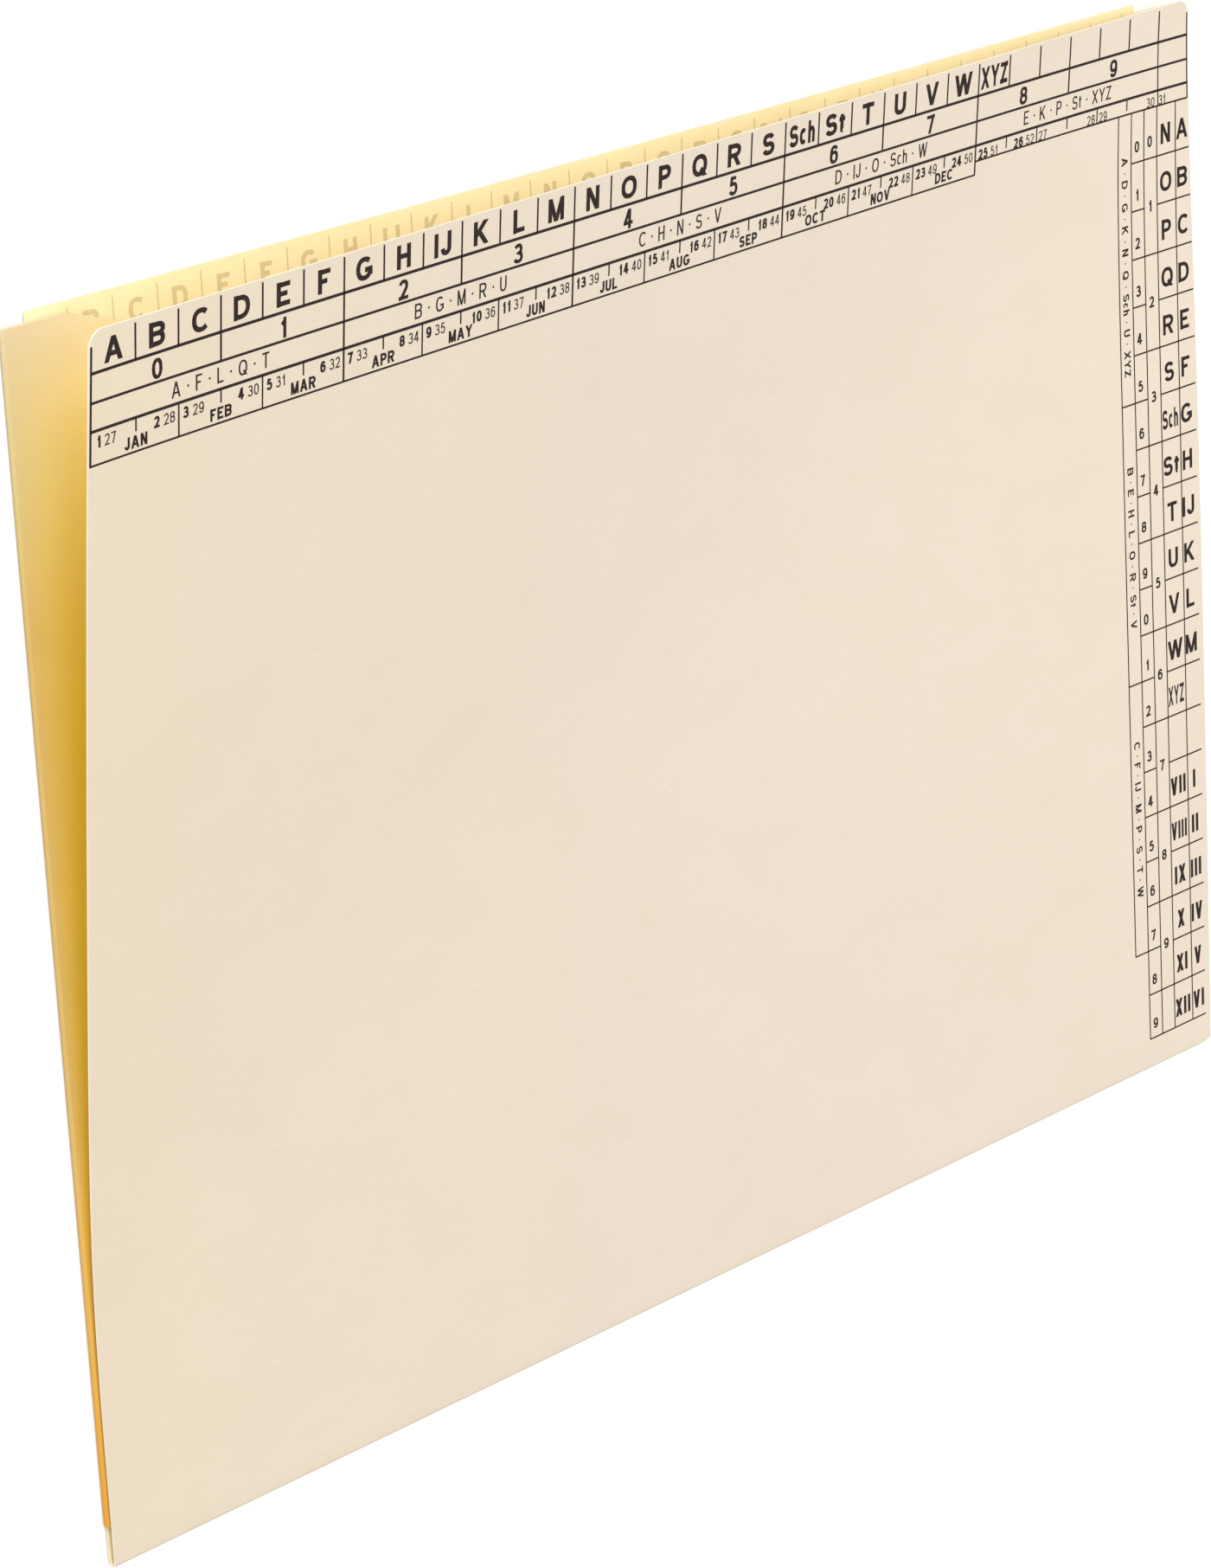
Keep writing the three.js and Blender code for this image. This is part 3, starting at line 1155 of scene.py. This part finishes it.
@dataclass(frozen=True)
class FrontRegisterSize:
    """Places of the front leaf's top register, in leaf millimetres.

    Lines 1 to 3 run across the whole leaf, line 4 under the months and line 5 right of them. A
    base is the height of a text over the line under it. The second number in a cell is
    half_year more than the first.
    """

    first: float = 2.965
    foot_shift: float = -0.55
    cells: int = 31
    pitch: float = 10.0
    edge_gap: float = 0.45
    top: float = 226.2
    corner_top: float = 224.4
    line_1: float = 219.83
    line_2: float = 214.76
    line_3: float = 209.88
    line_4: float = 204.0
    line_5: float = 206.7
    months_past: float = 0.1
    bold_rule: float = 0.56
    rule: float = 0.48
    bar: float = 0.44
    end_rule: float = 0.4
    fine_rule: float = 0.38
    short_mark: float = 2.4
    last_lean: float = 0.45
    letter_base: float = 1.05
    digit_base: float = 0.5
    group_base: float = 1.1
    group_spacing: Point2 = (3.6, 0.4)
    month_base: float = 0.65
    week_drop: float = 3.05
    last_base: float = 0.1
    pair_left: float = 1.0
    pair_right: float = 0.9
    pair_gap: float = 0.95
    single_inset: float = 0.7
    half_year: int = 26


@dataclass
class FrontRegister:
    """The index printed along the top of the front leaf."""

    size: FrontRegisterSize
    sheet: SheetSize
    initial: Lettering = Lettering(4.35, 1.02, Weight.BOLD)
    digit: Lettering = Lettering(3.7, 0.98, Weight.MEDIUM)
    group: Lettering = Lettering(2.8, 0.78, Weight.LIGHT)
    month: Lettering = Lettering(2.2, 0.90, Weight.BOLD)
    number: Lettering = Lettering(2.1, 0.95, Weight.BOLD)
    number_light: Lettering = Lettering(2.0, 0.86, Weight.LIGHT)

    def _x(self, cell: float) -> float:
        return self.size.first + self.size.pitch * cell

    def _start(self, s: float) -> Point2:
        """Where a rule starts: on a left line that leans a little."""
        z = self.size
        return z.first + z.foot_shift * (z.top - s) / (z.top - z.line_4), s

    def _end(self, s: float) -> Point2:
        """Where a rule ends, beside the leaf's right edge."""
        return self.sheet.front_right_at(s) - self.size.edge_gap, s

    def _uprights(
        self, page: Print, cells: Iterable[int], low: float, high: float, width: float
    ) -> None:
        """Rules upright lines where the cells start."""
        for cell in cells:
            page.rule((self._x(cell), low), (self._x(cell), high), width)

    def draw(self, page: Print) -> None:
        """Draws the whole register."""
        self._rules(page)
        self._letters(page)
        self._weeks(page)

    def _rules(self, page: Print) -> None:
        """Draws the frame, the long lines and the marks."""
        z = self.size
        fine, last, end = z.fine_rule, 2 * len(MONTHS), z.cells - 1
        for s, width in ((z.line_1, z.bold_rule), (z.line_2, z.rule), (z.line_3, z.bold_rule)):
            page.rule(self._start(s), self._end(s), width)
        page.rule(self._start(z.line_4), (self._x(last) + z.months_past, z.line_4), fine)
        page.rule((self._x(last), z.line_5), self._end(z.line_5), fine)
        page.bars(BarRow(self._x(1), z.line_1, z.top, end, z.pitch, z.bar))
        page.rule(self._start(z.line_4 - fine / 2), self._start(z.corner_top), z.rule)
        page.rule(self._end(z.line_5), self._end(z.corner_top), z.end_rule)
        self._uprights(page, range(3, end, 6), z.line_2, z.line_1, z.rule)
        self._uprights(page, range(6, last + 1, 6), z.line_4, z.line_1, z.rule)
        page.rule((self._x(end) + z.last_lean, z.line_5), (self._x(end), z.line_1), fine)
        self._uprights(page, range(1, end, 2), z.line_3 - z.short_mark, z.line_3, fine)
        months = (cell for cell in range(2, last, 2) if cell % 6)
        self._uprights(page, months, z.line_4, z.line_3, fine)
        self._uprights(page, range(last + 2, end, 2), z.line_5, z.line_3, fine)

    def _letters(self, page: Print) -> None:
        """Writes the initials, the digits over three cells each and the groups of letters."""
        z = self.size
        for cell, letters in enumerate(LETTERS):
            place = (self._x(cell + 0.5), z.line_1 + z.letter_base)
            page.write(letters, place, self.initial, fit=SQUEEZED.get(letters, math.inf))
        for digit in range(10):
            place = (self._x(3 * digit + 1.5), z.line_2 + z.digit_base)
            page.write(str(digit), place, self.digit)
        base = z.line_3 + z.group_base
        for index, group in enumerate(GROUPS):
            middle = self._x(6 * index + 3)
            page.dotted(group.split(), self.group, lambda at: (middle + at, base), z.group_spacing)

    def _weeks(self, page: Print) -> None:
        """Writes the months over two cells each, and the numbers of weeks and days."""
        z = self.size
        months, last = 2 * len(MONTHS), z.line_5 + z.last_base
        for cell in range(months + 2):
            self._pair(page, cell, z.line_3 - z.week_drop if cell < months else last)
        for index, month in enumerate(MONTHS):
            page.write(month, (self._x(2 * index + 1), z.line_4 + z.month_base), self.month)
        for number in range(months + 3, z.cells + 1):
            left = number % 2 == 1
            x = self._x(number - 1) + z.single_inset if left else self._x(number) - z.single_inset
            align = Align.LEFT if left else Align.RIGHT
            page.write(str(number), (x, last), self.number_light, align)

    def _pair(self, page: Print, cell: int, base: float) -> None:
        """Writes a cell's bold and light number side by side, at the end away from its month."""
        z = self.size
        bold, light = str(cell + 1), str(cell + 1 + z.half_year)
        if cell % 2 == 0:
            x = self._x(cell) + z.pair_left
            x += page.write(bold, (x, base), self.number, Align.LEFT) + z.pair_gap
            page.write(light, (x, base), self.number_light, Align.LEFT)
        else:
            x = self._x(cell + 1) - z.pair_right
            x -= page.write(light, (x, base), self.number_light, Align.RIGHT) + z.pair_gap
            page.write(bold, (x, base), self.number, Align.RIGHT)


@dataclass(frozen=True)
class SideRegisterSize:
    """Places of the index down the front leaf's right edge, in leaf millimetres.

    A base is the height of a text over the boundary of rows under it.
    """

    columns: tuple[float, ...] = (290.3, 294.6, 298.8, 303.1, 309.3)
    foot_shift: float = 1.2
    end: float = 315.0
    outer_end: float = 313.6
    edge_gap: float = 0.3
    head: float = 206.3
    top: float = 205.9
    row: float = 10.0
    rows: int = 20
    letter_rows: int = 12
    band_rows: int = 6
    rule: float = 0.34
    nudge: float = -0.2
    digit_base: float = 2.0
    first_base: float = 2.3
    double_base: float = -1.1
    letter_base: float = 2.2
    inner_fit: float = 5.2
    outer_fit: float = 4.3
    band_base: float = -1.1
    band_shift: float = 0.6
    band_spacing: Point2 = (3.0, 0.32)


@dataclass
class SideRegister:
    """The index printed down the right edge of the front leaf."""

    size: SideRegisterSize
    sheet: SheetSize
    letter: Lettering = Lettering(4.2, 0.94, Weight.MEDIUM)
    roman: Lettering = Lettering(4.0, 0.64, Weight.MEDIUM)
    digit: Lettering = Lettering(2.4, 0.95, Weight.MEDIUM)
    small: Lettering = Lettering(2.0, 0.95, Weight.MEDIUM)

    def _s(self, boundary: float) -> float:
        return self.size.top - self.size.row * boundary

    def _x(self, column: float, s: float) -> float:
        """A column's place at a height: the columns lean a little."""
        z = self.size
        return column + z.foot_shift * (z.top - s) / (z.row * z.rows)

    def draw(self, page: Print) -> None:
        """Draws the whole register."""
        self._rules(page)
        self._columns(page)

    def _rules(self, page: Print) -> None:
        """Draws the columns' lines and the boundaries of the rows."""
        z = self.size
        for index, column in enumerate(z.columns):
            foot = self._s(z.rows if index else z.band_rows * len(BANDS))
            page.rule((self._x(column, foot), foot), (column, z.head), z.rule)
        for boundary in range(1, z.rows + 1):
            s = self._s(boundary)
            right = min(z.end, self.sheet.front_right_at(s) - z.edge_gap)
            a, b, c, d = (self._x(column, s) for column in z.columns[:4])
            whole = boundary % 2 or boundary == z.rows
            spans = [(b, right)] if whole else [(b, c), (d, right)]
            if boundary % z.band_rows == 0:
                spans.append((a, b))
            for start, end in spans:
                page.rule((start, s), (end, s), z.rule)

    def _columns(self, page: Print) -> None:
        """Writes the bands of letters, the two columns of digits and the two of initials."""
        z = self.size
        a, b, c, d, e = z.columns

        def write(text: str, x: float, s: float, style: Lettering, fit: float = math.inf) -> None:
            page.write(text, (self._x(x, s), s), style, fit=fit)

        for row in range(z.rows):
            base = self._s(row + 1) + z.digit_base
            write(str(row % 10), (b + c) / 2 + z.nudge, base, self.digit)
        write("0", (c + d) / 2 + z.nudge, self._s(1) + z.first_base, self.digit)
        for digit in range(1, 10):
            base = self._s(2 * digit) + z.double_base
            write(str(digit), (c + d) / 2 + z.nudge, base, self.digit)
        half = len(ROMANS) // 2
        inner = LETTERS[z.letter_rows :] + [""] + ROMANS[half:]
        outer = LETTERS[: z.letter_rows] + ["", ""] + ROMANS[:half]
        for row, (first, second) in enumerate(zip(inner, outer)):
            base = self._s(row + 1) + z.letter_base
            style = self.roman if row > z.letter_rows else self.letter
            if first:
                write(first, (d + e) / 2 + z.nudge, base, style, z.inner_fit)
            if second:
                write(second, (e + z.outer_end) / 2, base, style, z.outer_fit)
        for index, band in enumerate(BANDS):
            middle = self._s(z.band_rows * (index + 0.5)) + z.band_base + z.band_shift * index

            def place(at: float) -> Point2:
                return self._x((a + b) / 2, middle - at), middle - at

            page.dotted(band.split(), self.small, place, z.band_spacing, turned=True)


@dataclass
class BackRegister:
    """The index printed inside the back leaf, along its tab."""

    sheet: SheetSize
    first: float = 4.9
    pitch: float = 10.0
    top: float = 224.6
    foot: float = 218.4
    marks: int = 29
    mark_rule: float = 0.32
    letter_base: float = 0.6
    letter: Lettering = Lettering(4.2, 0.96, Weight.BOLD)

    def draw(self, page: Print) -> None:
        """Draws its marks and letters."""
        second = self.first + self.pitch
        page.bars(BarRow(second, self.foot, self.top, self.marks, self.pitch, self.mark_rule))
        for cell, letters in enumerate(LETTERS):
            place = (self.first + self.pitch * (cell + 0.5), self.foot + self.letter_base)
            page.write(letters, place, self.letter, fit=SQUEEZED.get(letters, math.inf))


# ---- setting


@dataclass(frozen=True)
class PhotoCamera:
    """Camera at the photograph's viewing angle, placed from the back leaf's middle surface.

    The first two are in pixels of the photograph, the clip distances in metres and the rest in
    sheet millimetres. The last three directions are the picture's right, down and ahead.
    """

    focal_pixels: float = 6258.66
    frame_height: float = 1812.0
    sensor: float = 36.0
    place: Point3 = (-550.409, 429.751, 674.889)
    right: Point3 = (0.687951, -0.050733, 0.723981)
    down: Point3 = (-0.263545, -0.946922, 0.184073)
    ahead: Point3 = (0.676215, -0.317435, -0.664807)
    clip: Point2 = (0.05, 20.0)

    def build(self, surface: LeafSurface) -> None:
        """Creates the camera and makes it the scene's."""
        camera = bpy.data.cameras.new("photo_camera")
        camera.sensor_width = self.sensor
        camera.lens = self.focal_pixels / self.frame_height * self.sensor
        camera.clip_start, camera.clip_end = self.clip
        obj = linked("photo_camera", camera)
        turn = Matrix((self.right, [-v for v in self.down], [-v for v in self.ahead])).transposed()
        place = np.array(self.place) + np.array([0.0, 0.0, surface.size.back_z])
        obj.matrix_world = Matrix.Translation(Vector(surface.to_row(place))) @ turn.to_4x4()
        bpy.context.scene.camera = obj


@dataclass(frozen=True)
class SoftLight:
    """A large square light aimed at the folder. Lengths are metres, power is watts."""

    name: str
    place: Point3
    side: float
    power: float

    def build(self) -> None:
        """Creates the light."""
        light = bpy.data.lights.new(self.name, "AREA")
        light.shape = "SQUARE"
        light.size = self.side
        light.energy = self.power
        obj = linked(self.name, light)
        obj.location = self.place
        obj.rotation_euler = (-Vector(self.place)).to_track_quat("-Z", "Y").to_euler()


@dataclass(frozen=True)
class Studio:
    """Pale floor, even surroundings and soft lights. Lengths are metres."""

    floor_side: float = 6.0
    floor_gap: float = 0.0002
    floor_colour: Colour = (0.93, 0.93, 0.93)
    floor_roughness: float = 0.9
    surround: float = 0.85
    lights: tuple[SoftLight, ...] = (
        SoftLight("key_light", (-0.7, 1.5, 1.0), 1.2, 22.0),
        SoftLight("fill_light", (-0.5, 0.1, 1.9), 1.6, 14.0),
    )

    def build(self) -> bpy.types.Object:
        """Creates the lights, the surroundings and the floor, and returns the floor."""
        corners = np.array([(-1, -1, 0), (1, -1, 0), (1, 1, 0), (-1, 1, 0)]) * self.floor_side / 2
        floor = mesh_object("floor", corners - (0, 0, self.floor_gap), [(0, 1, 2, 3)])
        material, graph, shader = blank_material("floor_paper")
        colour = (*self.floor_colour, 1.0)
        graph.feed(shader, {"Base Color": colour, "Roughness": self.floor_roughness})
        floor.data.materials.append(material)
        world = bpy.data.worlds.new("soft_surroundings")
        world.use_nodes = True
        back = world.node_tree.nodes["Background"]
        graph = Graph(world.node_tree)
        graph.feed(back, {"Color": (1.0, 1.0, 1.0, 1.0), "Strength": self.surround})
        bpy.context.scene.world = world
        bpy.context.scene.view_settings.view_transform = "Standard"
        for light in self.lights:
            light.build()
        return floor


# ---- the folder


class SortingFolder:
    """The whole folder: the sheet and its three prints."""

    ink_thickness = 0.02

    def __init__(self) -> None:
        self.size = SheetSize()
        self.surface = LeafSurface(self.size)
        self.finishes = Finishes()
        self.glyphs = GlyphCase(self.ink_thickness)

    def _on(self, leaf: Callable) -> Callable:
        return lambda x, s, h: self.surface.to_row(leaf(x, s, h))

    def build(self) -> dict[str, bpy.types.Object]:
        """Builds every piece and ties each to the body it belongs to."""
        size, surface, finishes = self.size, self.surface, self.finishes
        sheet = FolderSheet(size, surface).build(finishes)
        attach(sheet, "root")
        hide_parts("folder_sheet")
        pieces = {"sheet": sheet}
        front = FrontRegister(FrontRegisterSize(), size)
        side = SideRegister(SideRegisterSize(), size)
        prints = (
            ("top_register", front, surface.top_print, finishes.ink),
            ("side_register", side, surface.front, finishes.ink),
            ("inside_register", BackRegister(size), surface.back, finishes.faint_ink),
        )
        for name, register, leaf, finish in prints:
            page = Print(self.glyphs, finish.build())
            register.draw(page)
            ink = page.build(name, self._on(leaf), size.card / 2)
            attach(ink, "root")
            pieces[name] = ink
        return pieces


def main() -> None:
    """Builds the folder and its setting, and reports the pieces."""
    logging.basicConfig(level=logging.INFO, format="%(name)s: %(message)s")
    folder = SortingFolder()
    for name, piece in folder.build().items():
        LOG.info("%s: %d faces", name, len(piece.data.polygons))
    PhotoCamera().build(folder.surface)
    Studio().build()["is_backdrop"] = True
    bounds = {"frame": START_BOUNDS, "scene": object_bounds()}
    {key: [list(v) for v in pair] for key, pair in bounds.items()}


if __name__ == "__main__":
    main()
